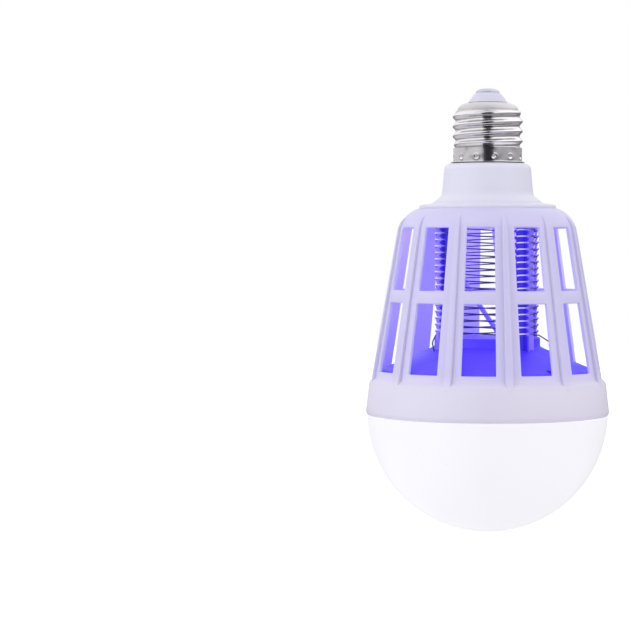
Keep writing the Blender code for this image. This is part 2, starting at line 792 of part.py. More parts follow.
def opal_dome():
    rise = dome_centre_rise
    centre = (0.0, dome_top_z + rise)
    start_deg = -math.degrees(math.asin(rise / dome_radius))
    inner = dome_radius - dome_wall
    spigot_bore = dome_spigot_radius - dome_wall
    spigot_top_z = dome_top_z + dome_spigot_height
    outline = [(dome_spigot_radius, spigot_top_z), (dome_spigot_radius, dome_top_z)]
    outline += arc(centre, (dome_radius, dome_radius), start_deg, -90.0, 8)
    outline += arc(centre, (inner, inner), -90.0, start_deg * 3, 5)
    outline += [(spigot_bore, dome_top_z - dome_wall / 2), (spigot_bore, spigot_top_z)]
    outline += [(dome_spigot_radius, spigot_top_z)]
    turned("opal_dome", outline, opal_plastic, closed=False)


def on_driver(side, depth):
    # How far in front of or behind the driver board's middle a component of this depth sits.
    return side * (driver_thickness / 2 + gap + depth / 2)


def block(name, shares, across, rise, side, material):
    width, depth = [share * driver_half_width for share in shares[:2]]
    height = shares[2] * driver_height
    middle = driver_foot_z + rise * driver_height + height / 2
    centre = (across * driver_half_width, on_driver(side, depth), middle)
    box(name, (width, depth, height), centre, material)


def can(name, shares, across, rise, side, material):
    radius = shares[0] * driver_half_width
    height = shares[1] * driver_height
    middle = driver_foot_z + rise * driver_height + height / 2
    centre = (across * driver_half_width, on_driver(side, 2 * radius), middle)
    cylinder(name, radius, height, centre, material, 14)


def driver():
    # Each component stands at a share of the board's half width and of its height.
    size = (2 * driver_half_width, driver_thickness, driver_height)
    box("driver_board", size, (0.0, 0.0, driver_foot_z + driver_height / 2), board_brown)
    block("transformer", transformer_shares, -0.25, 0.12, -1, yellow_tape)
    block("bridge_rectifier", rectifier_shares, 0.435, 0.74, -1, black_plastic)
    can("reservoir_capacitor", reservoir_shares, 0.435, 0.045, -1, black_plastic)
    block("film_capacitor", film_capacitor_shares, -0.36, 0.12, 1, film_red)
    block("hv_capacitor", hv_capacitor_shares, -0.325, 0.60, 1, ceramic_blue)
    can("line_choke", choke_shares, 0.4, 0.3, 1, black_plastic)


def cap_leads():
    start_z = driver_top_z + gap
    aside = lead_radius * 3.5
    wall = bore_radius - gap - lead_radius
    inward = wall * 2 / 3
    contact_route = ((aside, start_z), (aside, spigot_top_z), (0.0, stem_foot_z - lead_radius * 5))
    contact_route += ((0.0, stem_foot_z - gap),)
    shell_route = ((-inward, start_z), (-inward - lead_radius, spigot_top_z - lead_radius * 1.5))
    shell_route += ((-(inward + wall) / 2, spigot_top_z + lead_radius * 2.5),)
    shell_route += ((-wall, spigot_top_z + lead_radius * 3.5),)
    shell_route += ((-wall, spigot_top_z + lead_radius * 6.5),)
    for name, route, material in (
        ("contact_lead", contact_route, lead_red),
        ("shell_lead", shell_route, lead_white),
    ):
        tube(name, [(across, 0.0, height) for across, height in route], lead_radius, material)


contact_rivet()
cap_insulator()
screw_shell()
cap_leads()
neck_housing()
driver()
cage()
grid_top_plate()
floor = floor_clearance()
for post in range(post_count):
    grid_post(post, floor)
grid_wires()
led_leads()
uv_lights()
floor_tray()
led_board()
board_screws()
opal_dome()
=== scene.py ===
import math

import bpy
from mathutils import Matrix, Vector


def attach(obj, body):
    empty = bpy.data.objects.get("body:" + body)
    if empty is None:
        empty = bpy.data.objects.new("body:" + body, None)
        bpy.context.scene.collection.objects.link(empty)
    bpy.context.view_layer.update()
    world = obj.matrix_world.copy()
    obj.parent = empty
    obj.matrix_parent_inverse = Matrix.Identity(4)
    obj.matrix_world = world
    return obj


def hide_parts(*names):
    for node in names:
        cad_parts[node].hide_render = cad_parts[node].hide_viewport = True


# Insect killer bulb, cap up and dome down. The origin is the middle of the end contact and
# every height below it is negative. Sizes are in metres, and in mm in the tables that say so.

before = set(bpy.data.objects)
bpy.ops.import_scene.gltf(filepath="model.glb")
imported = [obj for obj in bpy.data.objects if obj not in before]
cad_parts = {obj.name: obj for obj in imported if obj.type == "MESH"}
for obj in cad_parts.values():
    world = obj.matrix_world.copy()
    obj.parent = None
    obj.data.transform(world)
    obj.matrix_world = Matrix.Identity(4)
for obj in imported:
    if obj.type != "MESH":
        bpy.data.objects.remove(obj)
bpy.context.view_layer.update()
print("frame loaded")

mm = 0.001
pole = 0.4 * mm  # radius of the ring that a lathed piece starts or ends with at the axis
front = -math.pi / 2  # the turn of the side that faces the camera
tiny = 1e-6  # slack where two places are compared
tinyTurn = 1e-4


# small helpers

def setMode(name):
    bpy.ops.object.mode_set(mode=name)


def nothingSelected():
    if bpy.context.mode != "OBJECT":
        setMode("OBJECT")
    bpy.ops.object.select_all(action="DESELECT")


def onlySelect(piece):
    nothingSelected()
    piece.select_set(True)
    bpy.context.view_layer.objects.active = piece


def inScene(name, data, place=(0, 0, 0)):
    holder = bpy.data.objects.new(name, data)
    holder.location = place
    bpy.context.scene.collection.objects.link(holder)
    return holder


def newPiece(name, add, **size):
    nothingSelected()
    add(**size)
    piece = bpy.context.object
    piece.name = name
    return piece


def editAll(piece):
    # edit mode with the whole piece selected
    onlySelect(piece)
    setMode("EDIT")
    bpy.ops.mesh.select_all(action="SELECT")


def applyPlace(piece):
    # puts the place into the mesh, so that the object sits at the origin
    onlySelect(piece)
    bpy.ops.object.transform_apply(location=True, rotation=True, scale=True)


def applyModifiers(piece):
    onlySelect(piece)
    for step in list(piece.modifiers):
        bpy.ops.object.modifier_apply(modifier=step.name)


def facesOut(piece):
    editAll(piece)
    bpy.ops.mesh.remove_doubles(threshold=2 * tiny)
    bpy.ops.mesh.normals_make_consistent(inside=False)
    setMode("OBJECT")


def addBevel(piece, width, segments, angle):
    edge = piece.modifiers.new("edge", "BEVEL")
    edge.width = width
    edge.segments = segments
    edge.limit_method = "ANGLE"
    edge.angle_limit = math.radians(angle)


def addWall(piece, thickness, even=False):
    # the outer skin gets its thickness inwards
    wall = piece.modifiers.new("wall", "SOLIDIFY")
    wall.thickness = thickness
    wall.offset = -1
    wall.use_even_offset = even


def finished(piece, material, node, smoothDeg):
    # hands a finished piece to the frame in place of the CAD node that it stands for
    onlySelect(piece)
    bpy.ops.object.shade_smooth_by_angle(angle=math.radians(smoothDeg))
    piece.data.materials.clear()
    piece.data.materials.append(material)
    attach(piece, "root")
    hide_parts(node)


def closePoles(piece):
    # the small ring left round each pole runs together in one point
    onlySelect(piece)
    for spot in piece.data.vertices:
        spot.select = math.hypot(spot.co.x, spot.co.y) < 1.5 * pole
    setMode("EDIT")
    bpy.ops.mesh.merge(type="COLLAPSE")
    setMode("OBJECT")


def lathe(name, outline, sides, ends):
    # a ring of edges is extruded and scaled from point to point of the outline
    radius, height = outline[0]
    piece = newPiece(
        name, bpy.ops.mesh.primitive_circle_add,
        vertices=sides, radius=radius, location=(0, 0, height),
    )
    editAll(piece)
    for nextRadius, nextHeight in outline[1:]:
        step = (0, 0, nextHeight - height)
        bpy.ops.mesh.extrude_region_move(TRANSFORM_OT_translate={"value": step})
        grow = nextRadius / radius
        bpy.ops.transform.resize(value=(grow, grow, 1), center_override=(0, 0, nextHeight))
        radius, height = nextRadius, nextHeight
    if ends == "bridged":
        editAll(piece)
        bpy.ops.mesh.region_to_loop()
        bpy.ops.mesh.bridge_edge_loops()
    applyPlace(piece)
    if ends == "poles":
        closePoles(piece)
        facesOut(piece)
    return piece


def arcPoints(centre, radii, startDeg, endDeg, steps):
    points = []
    for step in range(steps + 1):
        turn = math.radians(startDeg + (endDeg - startDeg) * step / steps)
        x = centre[0] + radii[0] * math.cos(turn)
        points.append((x, centre[1] + radii[1] * math.sin(turn)))
    return points


def copied(piece, name, matrix):
    # a copy with its own mesh, turned and placed
    twin = inScene(name, piece.data.copy())
    twin.data.transform(matrix)
    return twin


def joined(pieces, name):
    nothingSelected()
    for piece in pieces:
        piece.select_set(True)
    bpy.context.view_layer.objects.active = pieces[0]
    bpy.ops.object.join()
    pieces[0].name = name
    return pieces[0]


def cutOut(piece, cutter):
    step = piece.modifiers.new("cut", "BOOLEAN")
    step.object = cutter
    step.operation = "DIFFERENCE"
    step.solver = "EXACT"
    applyModifiers(piece)
    bpy.data.objects.remove(cutter, do_unlink=True)


def tubeAlong(name, points, radius, sides):
    # a round wire or lead along points, made into a mesh
    line = bpy.data.curves.new(name, "CURVE")
    line.dimensions = "3D"
    line.bevel_depth = radius
    line.bevel_resolution = sides
    line.use_fill_caps = True
    run = line.splines.new("POLY")
    run.points.add(len(points) - 1)
    for place, point in zip(run.points, points):
        place.co = (*point, 1)
    onlySelect(inScene(name, line))
    bpy.ops.object.convert(target="MESH")
    return bpy.context.object


def rounded(points, steps):
    # a smooth line through the points
    smoothLine = []
    last = len(points) - 1
    for i in range(last):
        before = points[max(i - 1, 0)]
        start, end = points[i], points[i + 1]
        after = points[min(i + 2, last)]
        for step in range(steps):
            t = step / steps
            smoothLine.append(
                0.5 * (
                    2 * start + (end - before) * t
                    + (2 * before - 5 * start + 4 * end - after) * t * t
                    + (3 * start - before - 3 * end + after) * t ** 3
                )
            )
    return smoothLine + [points[-1]]


def around(radius, turn, height):
    return Vector((radius * math.cos(turn), radius * math.sin(turn), height))


def markPoints(piece, name, measure):
    # writes a number on each point of the mesh, for the material to read
    marks = piece.data.attributes.new(name, "FLOAT", "POINT")
    for spot in piece.data.vertices:
        marks.data[spot.index].value = measure(spot.co)


# finishes

plasticGrain = {"drift": 220, "scale": 3200, "detail": 2.0, "depth": 0.00002, "strength": 0.25}
metalGrain = {"drift": 380, "scale": 2400, "detail": 3.0, "depth": 0.00001, "strength": 0.2}


def feed(tree, socket, value):
    # a socket takes another node's output or a plain value
    if hasattr(value, "is_linked"):
        tree.links.new(value, socket)
    else:
        socket.default_value = value


def newMaterial(name, colour, roughness, metallic=0.0):
    material = bpy.data.materials.new(name)
    material.use_nodes = True
    shader = material.node_tree.nodes["Principled BSDF"]
    shader.inputs["Base Color"].default_value = (*colour, 1)
    shader.inputs["Roughness"].default_value = roughness
    shader.inputs["Metallic"].default_value = metallic
    return material, material.node_tree, shader


def placeParts(tree, kind="Object"):
    place = tree.nodes.new("ShaderNodeTexCoord")
    parts = tree.nodes.new("ShaderNodeSeparateXYZ")
    tree.links.new(place.outputs[kind], parts.inputs["Vector"])
    return parts.outputs


def pointMark(tree, name):
    mark = tree.nodes.new("ShaderNodeAttribute")
    mark.attribute_name = name
    return mark.outputs["Fac"]


def objectNoise(tree, scale, detail=3.0):
    place = tree.nodes.new("ShaderNodeTexCoord")
    noise = tree.nodes.new("ShaderNodeTexNoise")
    noise.inputs["Scale"].default_value = scale
    noise.inputs["Detail"].default_value = detail
    tree.links.new(place.outputs["Object"], noise.inputs["Vector"])
    return noise.outputs["Fac"]


def ramp(tree, source, stops):
    node = tree.nodes.new("ShaderNodeValToRGB")
    while len(node.color_ramp.elements) < len(stops):
        node.color_ramp.elements.new(0.5)
    for element, (place, colour) in zip(node.color_ramp.elements, stops):
        element.position = place
        element.color = (*colour, 1)
    tree.links.new(source, node.inputs["Fac"])
    return node.outputs["Color"]


def maths(tree, operation, *values):
    node = tree.nodes.new("ShaderNodeMath")
    node.operation = operation
    for socket, value in zip(node.inputs, values):
        feed(tree, socket, value)
    return node.outputs["Value"]


def spread(tree, value, low, high, toLow, toHigh, easing="SMOOTHSTEP"):
    node = tree.nodes.new("ShaderNodeMapRange")
    node.interpolation_type = easing
    limits = {"From Min": low, "From Max": high, "To Min": toLow, "To Max": toHigh}
    for name, number in limits.items():
        node.inputs[name].default_value = number
    tree.links.new(value, node.inputs["Value"])
    return node.outputs["Result"]


def mixedColour(tree, blend, factor, first, second):
    mix = tree.nodes.new("ShaderNodeMix")
    mix.data_type = "RGBA"
    mix.blend_type = blend
    for name, value in (("Factor", factor), ("A", first), ("B", second)):
        feed(tree, mix.inputs[name], value)
    return mix.outputs["Result"]


def mixedShader(tree, factor, first, second):
    mix = tree.nodes.new("ShaderNodeMixShader")
    for socket, value in zip(mix.inputs, (factor, first, second)):
        tree.links.new(value, socket)
    return mix.outputs["Shader"]


def addBump(tree, shader, source, distance, strength):
    bump = tree.nodes.new("ShaderNodeBump")
    bump.inputs["Distance"].default_value = distance
    bump.inputs["Strength"].default_value = strength
    tree.links.new(source, bump.inputs["Height"])
    tree.links.new(bump.outputs["Normal"], shader.inputs["Normal"])


def varied(tree, shader, colour, change, scale):
    # the colour drifts a little over the surface
    low = tuple(c * (1 - change) for c in colour)
    high = tuple(min(c * (1 + change), 1.0) for c in colour)
    tint = ramp(tree, objectNoise(tree, scale), ((0.3, low), (0.7, high)))
    tree.links.new(tint, shader.inputs["Base Color"])


def fineGrain(tree, shader, low, high, grain, depth=None):
    # roughness that drifts between two values, and a fine bump
    drift = spread(tree, objectNoise(tree, grain["drift"], 4.0), 0, 1, low, high, "LINEAR")
    tree.links.new(drift, shader.inputs["Roughness"])
    fine = objectNoise(tree, grain["scale"], grain["detail"])
    addBump(tree, shader, fine, depth or grain["depth"], grain["strength"])


def glowing(shader, colour, strength):
    shader.inputs["Emission Color"].default_value = (*colour, 1)
    shader.inputs["Emission Strength"].default_value = strength


def mouldedPlastic(name, colour, rough=0.38, change=0.012, depth=None, glow=None):
    material, tree, shader = newMaterial(name, colour, rough)
    varied(tree, shader, colour, change, 60)
    fineGrain(tree, shader, rough - 0.06, rough + 0.06, plasticGrain, depth)
    if glow:
        glowing(shader, *glow)
    return material


def platedMetal(name, colour, low, high):
    material, tree, shader = newMaterial(name, colour, low, 1.0)
    varied(tree, shader, colour, 0.03, 90)
    fineGrain(tree, shader, low, high, metalGrain)
    return material


def nickelShell():
    # bright on the thread and satin on the shoulder
    material, tree, shader = newMaterial("nickelPlate", (0.80, 0.79, 0.80), 0.16, 1.0)
    varied(tree, shader, (0.80, 0.785, 0.80), 0.03, 90)
    satin = spread(tree, placeParts(tree)["Z"], -9.2 * mm, -8.2 * mm, 0.15, 0.62)
    rough = maths(tree, "MULTIPLY_ADD", objectNoise(tree, 380, 4.0), 0.06, satin)
    tree.links.new(rough, shader.inputs["Roughness"])
    # slight waves left by drawing the shell
    addBump(tree, shader, objectNoise(tree, 210, 1.0), 0.0009, 0.35)
    return material


def postPlastic():
    # painted light: the half of each post turned to the open side of the cage is coloured
    # lighter and the half in the fin's shade darker, and the violet colour and glow are
    # painted violet LED light
    material, tree, shader = newMaterial("postPlastic", (0.10, 0.06, 0.82), 0.42)
    sides = ((0.25, (0.050, 0.022, 0.76)), (0.75, (0.36, 0.27, 0.94)))
    shade = ramp(tree, pointMark(tree, "side"), sides)
    tree.links.new(shade, shader.inputs["Base Color"])
    glowing(shader, (0.12, 0.06, 0.90), 0.12)
    fineGrain(tree, shader, 0.36, 0.48, plasticGrain)
    return material


def wireSteel():
    # dark where the wire hangs free, with a painted highlight and glow where it crosses the
    # posts
    dark, bright = (0.13, 0.12, 0.24), (0.86, 0.84, 0.96)
    material, tree, shader = newMaterial("gridSteel", dark, 0.28, 1.0)
    paintedGlint = pointMark(tree, "paintedGlint")
    tree.links.new(ramp(tree, paintedGlint, ((0.2, dark), (0.9, bright))), shader.inputs["Base Color"])
    metallic = spread(tree, paintedGlint, 0, 1, 1.0, 0.1, "LINEAR")
    tree.links.new(metallic, shader.inputs["Metallic"])
    glowing(shader, (0.86, 0.84, 1.0), 0)
    # the painted highlight also glows
    glint = maths(tree, "MULTIPLY", paintedGlint, 0.30)
    tree.links.new(glint, shader.inputs["Emission Strength"])
    fineGrain(tree, shader, 0.24, 0.36, metalGrain)
    return material


def cagePlastic():
    # white outside, with the violet LED light painted into the colour through the wall to the
    # inner faces
    material, tree, shader = newMaterial("cagePlastic", (0.76, 0.735, 0.89), 0.38)
    depth = pointMark(tree, "depth")
    shade = ramp(tree, depth, (
        (0.0, (0.655, 0.617, 0.86)), (0.3, (0.74, 0.70, 0.93)),
        (0.8, (0.66, 0.61, 0.93)), (1.0, (0.51, 0.445, 0.84)),
    ))
    # painted glow: the inner faces glow violet for the LED light on them
    glow = ramp(tree, depth, ((0.55, (0, 0, 0)), (1.0, (0.41, 0.345, 0.72))))
    tree.links.new(glow, shader.inputs["Emission Color"])
    shader.inputs["Emission Strength"].default_value = 0.34
    # the ring is too far from the violet LEDs to take their tint
    low = spread(tree, placeParts(tree)["Z"], -104 * mm, -111 * mm, 0.0, 1.0)
    shade = mixedColour(tree, "MIX", low, shade, (0.755, 0.715, 0.83, 1))
    drift = ramp(tree, objectNoise(tree, 60), ((0.3, (0.985,) * 3), (0.7, (1.0,) * 3)))
    shade = mixedColour(tree, "MULTIPLY", 1.0, shade, drift)
    tree.links.new(shade, shader.inputs["Base Color"])
    fineGrain(tree, shader, 0.32, 0.44, plasticGrain)
    return material


# colour, roughness, drift of the colour, depth of the grain, and colour and strength of a glow
whitePlastic = mouldedPlastic("whitePlastic", (0.76, 0.745, 0.85))
conePlastic = mouldedPlastic("conePlastic", (0.66, 0.655, 0.76))
cageWhite = cagePlastic()
# painted light: the tray's violet colour and glow stand for the violet LED light on it
paintedVioletLight = mouldedPlastic(
    "paintedVioletLight", (0.112, 0.062, 0.86), 0.42, 0.05, glow=((0.08, 0.04, 0.95), 0.10)
)
opalPlastic = mouldedPlastic(
    "opalPlastic", (0.49, 0.484, 0.52), 0.30, 0.004, 0.000005, glow=((1.0, 0.99, 1.0), 0.495)
)
nickelPlate = nickelShell()
postPaintedViolet = postPlastic()
contactTin = platedMetal("contactTin", (0.74, 0.735, 0.84), 0.62, 0.72)
gridSteel = wireSteel()
boardWhite = mouldedPlastic("boardWhite", (0.82, 0.84, 0.82), 0.34, 0.02)
boardBrown = mouldedPlastic("boardBrown", (0.36, 0.24, 0.11), 0.55, 0.08)
phosphor = mouldedPlastic(
    "phosphor", (0.90, 0.72, 0.20), 0.3, 0.03, glow=((1.0, 0.95, 0.8), 2.0)
)
ledViolet = mouldedPlastic(
    "ledViolet", (0.45, 0.36, 0.95), 0.2, 0.02, glow=((0.30, 0.18, 1.0), 6.0)
)
blackPlastic = mouldedPlastic("blackPlastic", (0.03, 0.03, 0.034), 0.4, 0.1)
yellowTape = mouldedPlastic("yellowTape", (0.72, 0.50, 0.06), 0.4, 0.06)
redDip = mouldedPlastic("redDip", (0.46, 0.07, 0.04), 0.3, 0.06)
blueDip = mouldedPlastic("blueDip", (0.08, 0.18, 0.46), 0.3, 0.06)
# painted light: the violet colour and glow of the LED leads stand for the violet LED light on
# them
leadSleeve = mouldedPlastic(
    "leadSleeve", (0.29, 0.23, 0.82), 0.4, 0.03, glow=((0.25, 0.18, 1.0), 0.05)
)
whiteSleeve = mouldedPlastic("whiteSleeve", (0.78, 0.77, 0.82), 0.45, 0.03)
redSleeve = mouldedPlastic("redSleeve", (0.55, 0.04, 0.03), 0.45, 0.05)
screwSteel = platedMetal("screwSteel", (0.58, 0.58, 0.60), 0.28, 0.40)
print("finishes made")


# end contact, insulator cone and screw shell

cap = {
    "contactRim": 4.5 * mm,
    "contactFlat": 1.3 * mm,
    "contactDrop": 1.65 * mm,
    "contactFoot": 0.1 * mm,
    "coneTop": 4.75 * mm,
    "coneFoot": 7.35 * mm,
    "coneTopZ": -1.7 * mm,
    "coneFootZ": -5.25 * mm,
    "coneRound": (0.25 * mm, 0.2 * mm),
    "coneCurve": 1.2,
    "plug": 6.6 * mm,
    "plugFootZ": -6.8 * mm,
    "shellMouth": 7.0 * mm,
    "shellTopZ": -5.4 * mm,
    "mouthDepth": 0.6 * mm,
    "shoulder": 11.4 * mm,
    "shoulderZ": -8.4 * mm,
    "crest": 13.1 * mm,
    "threadDepth": 1.1 * mm,
    "pitch": 3.63 * mm,
    "threadFootZ": -21.9 * mm,
    "threadRows": 66,
    "crestTurn": 0.096,
    "crestPower": 1.35,
    "runIn": 2.0,
    "runOut": 2.2,
    "runOutStart": 0.15,
    "skirt": 12.8 * mm,
    "skirtDrop": 0.35 * mm,
    "skirtRows": 24,
    "rimTopZ": -27.2 * mm,
    # radius and height in mm
    "rimLine": (
        (13.1, -27.30), (13.55, -27.38), (13.75, -27.5), (13.7, -27.66), (13.4, -27.7),
        (11.4, -27.7),
    ),
    "bore": 11.4 * mm,
    "boreDrop": 1 * mm,
    "dimpleZ": -25.7 * mm,
    "dimpleSize": 0.56 * mm,
    "dimpleDepth": 0.60 * mm,
    "dimpleFall": 1.3,
    "lipHeight": 0.10 * mm,
    "lipAt": 1.7,
    "lipWidth": 0.5,
    "dimples": 12,
}


def endContact():
    flat, rim, drop = cap["contactFlat"], cap["contactRim"], cap["contactDrop"]
    foot = -drop - cap["contactFoot"]
    outline = [(pole, 0), (flat, 0)]
    outline += arcPoints((flat, -drop), (rim - flat, drop), 82, 0, 10)
    outline += [(rim, foot), (pole, foot)]
    piece = lathe("endContact", outline, sides=48, ends="poles")
    finished(piece, contactTin, "contact_rivet", 40)


def insulatorCone():
    inset, drop = cap["coneRound"]
    startZ = cap["coneTopZ"] - drop
    outline = [(pole, cap["coneTopZ"]), (cap["coneTop"] - inset, cap["coneTopZ"])]
    steps = 8
    for step in range(steps + 1):
        share = step / steps
        radius = cap["coneTop"] + (cap["coneFoot"] - cap["coneTop"]) * share
        fall = (cap["coneFootZ"] - startZ) * share ** cap["coneCurve"]
        outline.append((radius, startZ + fall))
    plug, plugFootZ = cap["plug"], cap["plugFootZ"]
    outline += [(plug, cap["coneFootZ"]), (plug, plugFootZ), (pole, plugFootZ)]
    piece = lathe("insulatorCone", outline, sides=64, ends="poles")
    finished(piece, conePlastic, "cap_insulator", 30)


def threadRadius(turn, height):
    # a right-handed thread climbs one pitch for each turn anticlockwise, seen from above
    pitch = cap["pitch"]
    phase = (height - cap["shoulderZ"]) / pitch - turn / math.tau + cap["crestTurn"]
    wave = (0.5 + 0.5 * math.cos(math.tau * phase)) ** cap["crestPower"]
    # it grows out of the shoulder and dies away above the skirt
    top = cap["runIn"] * (cap["shoulderZ"] - height) / pitch
    foot = cap["runOut"] * (height - cap["threadFootZ"]) / pitch + cap["runOutStart"]
    for share in (top, foot):
        wave *= min(1.0, max(0.0, share))
    return cap["crest"] - cap["threadDepth"] + cap["threadDepth"] * wave


def skirtRadius(radius, turn, height):
    # the staking dimples, each with a faint raised lip
    bay = math.tau / cap["dimples"]
    off = (turn - front + bay / 2) % bay
    off = min(off, bay - off) * radius
    far = math.hypot(off, height - cap["dimpleZ"]) / cap["dimpleSize"]
    dent = cap["dimpleDepth"] * math.exp(-far ** 2 * cap["dimpleFall"])
    lip = cap["lipHeight"] * math.exp(-((far - cap["lipAt"]) / cap["lipWidth"]) ** 2)
    return radius - dent + lip


def screwShell():
    root = cap["crest"] - cap["threadDepth"]
    mouth, shoulderZ, footZ = cap["shellMouth"], cap["shoulderZ"], cap["threadFootZ"]
    bend = (cap["shoulder"] - mouth, cap["shellTopZ"] - shoulderZ)
    outline = [(mouth, cap["shellTopZ"] - cap["mouthDepth"]), (mouth, cap["shellTopZ"])]
    outline += arcPoints((mouth, shoulderZ), bend, 80, 0, 10)
    rows = cap["threadRows"]
    for row in range(1, rows + 1):
        outline.append((root, shoulderZ + (footZ - shoulderZ) * row / rows))
    rows = cap["skirtRows"]
    skirtZ = footZ - cap["skirtDrop"]
    for row in range(rows + 1):
        outline.append((cap["skirt"], skirtZ + (cap["rimTopZ"] - skirtZ) * row / rows))
    outline += [(radius * mm, height * mm) for radius, height in cap["rimLine"]]
    outline += [(cap["bore"], shoulderZ - cap["boreDrop"])]
    piece = lathe("screwShell", outline, sides=240, ends="bridged")
    for spot in piece.data.vertices:
        radius = math.hypot(spot.co.x, spot.co.y)
        turn = math.atan2(spot.co.y, spot.co.x)
        height = spot.co.z
        if footZ - tiny < height < shoulderZ - tiny and radius > (cap["bore"] + root) / 2:
            spot.co = around(threadRadius(turn, height), turn, height)
        elif abs(radius - cap["skirt"]) < tiny:
            spot.co = around(skirtRadius(radius, turn, height), turn, height)
    facesOut(piece)
    finished(piece, nickelPlate, "screw_shell", 50)


endContact()
insulatorCone()
screwShell()
print("cap made")


# neck housing

neck = {
    "topZ": -28.0 * mm,
    "topRadius": 16.2 * mm,
    "footRadius": 16.9 * mm,
    "corner": 2.4 * mm,
    "flareZ": -38.2 * mm,
    "flareFootZ": -43.2 * mm,
    "flareRadius": 23.9 * mm,
    "rimRadius": 25.45 * mm,
    "rimZ": -44.4 * mm,
    "rimLine": ((-0.35, 0.95), (-0.08, 0.7), (0, 0.3)),  # from the rim, in mm
    "rimInset": 0.06 * mm,
    "seatZ": -44.68 * mm,
    "seat": 20 * mm,
    "seatRise": 2.2 * mm,
    "inside": ((14.8, -38), (14.2, -30)),  # radius and height in mm
    "bore": 11.1 * mm,
    "boreDepth": 1 * mm,
    "mouth": 12.6 * mm,
}


def neckHousing():
    topZ, rim, rimZ = neck["topZ"], neck["rimRadius"], neck["rimZ"]
    corner = (neck["topRadius"] - neck["corner"], topZ - neck["corner"])
    flare = (neck["flareRadius"], neck["flareZ"])
    flareSize = (neck["flareRadius"] - neck["footRadius"], neck["flareZ"] - neck["flareFootZ"])
    bore = neck["bore"]
    outline = [(bore, topZ - neck["boreDepth"]), (bore, topZ), (neck["mouth"], topZ)]
    outline += arcPoints(corner, (neck["corner"], neck["corner"]), 90, 0, 10)
    for share in (0.25, 0.5, 0.75):
        radius = neck["topRadius"] + (neck["footRadius"] - neck["topRadius"]) * share
        outline.append((radius, corner[1] + (neck["flareZ"] - corner[1]) * share))
    outline += arcPoints(flare, flareSize, 180, 268, 16)
    outline += [(rim + out * mm, rimZ + rise * mm) for out, rise in neck["rimLine"]]
    outline += [(rim - neck["rimInset"], neck["seatZ"]), (neck["seat"], neck["seatZ"])]
    outline += [(neck["seat"], rimZ + neck["seatRise"])]
    outline += [(radius * mm, height * mm) for radius, height in neck["inside"]]
    piece = lathe("neckHousing", outline, sides=128, ends="bridged")
    facesOut(piece)
    finished(piece, whitePlastic, "neck_housing", 40)


neckHousing()
print("neck made")


# cage: shoulder, tapered wall with two rows of windows, middle rail, ring and fins

cage = {
    "topZ": -44.7 * mm,
    "seatRadius": 21.45 * mm,
    "shoulderRadius": 33.0 * mm,
    "shoulderZ": -53.0 * mm,
    "shoulderArc": 10.5 * mm,
    "taperDeg": 9.6,
    "wall": 1.3 * mm,
    "wallFootZ": -107.5 * mm,
    "ledge": 1.9 * mm,
    "ringTopZ": -109.4 * mm,
    "ringEdgeZ": -120.6 * mm,
    "ringFootZ": -121.7 * mm,
    "ringSpread": 1.3 * mm,
    "bays": 12,
    "columns": 20,
    "upperTopZ": -51.8 * mm,
    "upperFootZ": -74.9 * mm,
    "railZ": -77.2 * mm,
    "lowerTopZ": -79.5 * mm,
    "lowerFootZ": -105.1 * mm,
    "upperRows": range(-56, -73, -4),  # heights in mm
    "lowerRows": range(-84, -101, -4),
    "windowTop": 10.2 * mm,
    "windowFoot": 12.7 * mm,
    "sideZ": -80 * mm,  # where the columns beside a window are counted
    "rowGap": 0.6 * mm,
    "edge": 0.28 * mm,
}


def wallRadius(height):
    slope = math.tan(math.radians(cage["taperDeg"]))
    return cage["shoulderRadius"] + (cage["shoulderZ"] - height) * slope


def windowHalf(height):
    share = (cage["upperTopZ"] - height) / (cage["upperTopZ"] - cage["lowerFootZ"])
    return (cage["windowTop"] + (cage["windowFoot"] - cage["windowTop"]) * share) / 2


def shoulderCentre():
    taper = math.radians(cage["taperDeg"])
    size = cage["shoulderArc"]
    return (
        cage["shoulderRadius"] - size * math.cos(taper),
        cage["shoulderZ"] - size * math.sin(taper),
    )


def shoulderPoint(height):
    centre = shoulderCentre()
    return centre[0] + math.sqrt(cage["shoulderArc"] ** 2 - (height - centre[1]) ** 2)


def shoulderLine():
    # rounded shoulder from the top of the cage down to the windows
    centre, size = shoulderCentre(), cage["shoulderArc"]
    topDeg = math.degrees(math.asin((cage["topZ"] - centre[1]) / size))
    line = arcPoints(centre, (size, size), topDeg, cage["taperDeg"], 9)
    return [point for point in line if point[1] > cage["upperTopZ"] + cage["rowGap"]]


def cageOutline():
    foot = wallRadius(cage["wallFootZ"])
    ledge = foot + cage["ledge"]
    edge = ledge + cage["ringSpread"]
    heights = [height * mm for height in cage["upperRows"]]
    heights += [cage["upperFootZ"], cage["railZ"], cage["lowerTopZ"]]
    heights += [height * mm for height in cage["lowerRows"]]
    heights += [cage["lowerFootZ"], cage["wallFootZ"]]
    return [
        (cage["seatRadius"], cage["topZ"]),
        *shoulderLine(),
        (shoulderPoint(cage["upperTopZ"]), cage["upperTopZ"]),
        (cage["shoulderRadius"], cage["shoulderZ"]),
        *((wallRadius(height), height) for height in heights),
        # the ledge and the ring, with their edges rounded
        (foot + 0.15 * mm, cage["wallFootZ"] - 0.35 * mm),
        (ledge - 0.45 * mm, cage["ringTopZ"] + 0.35 * mm),
        (ledge, cage["ringTopZ"] - 0.25 * mm),
        (edge - 0.1 * mm, cage["ringEdgeZ"] + 0.8 * mm),
        (edge, cage["ringEdgeZ"]),
        (edge - 0.5 * mm, cage["ringFootZ"]),
    ]


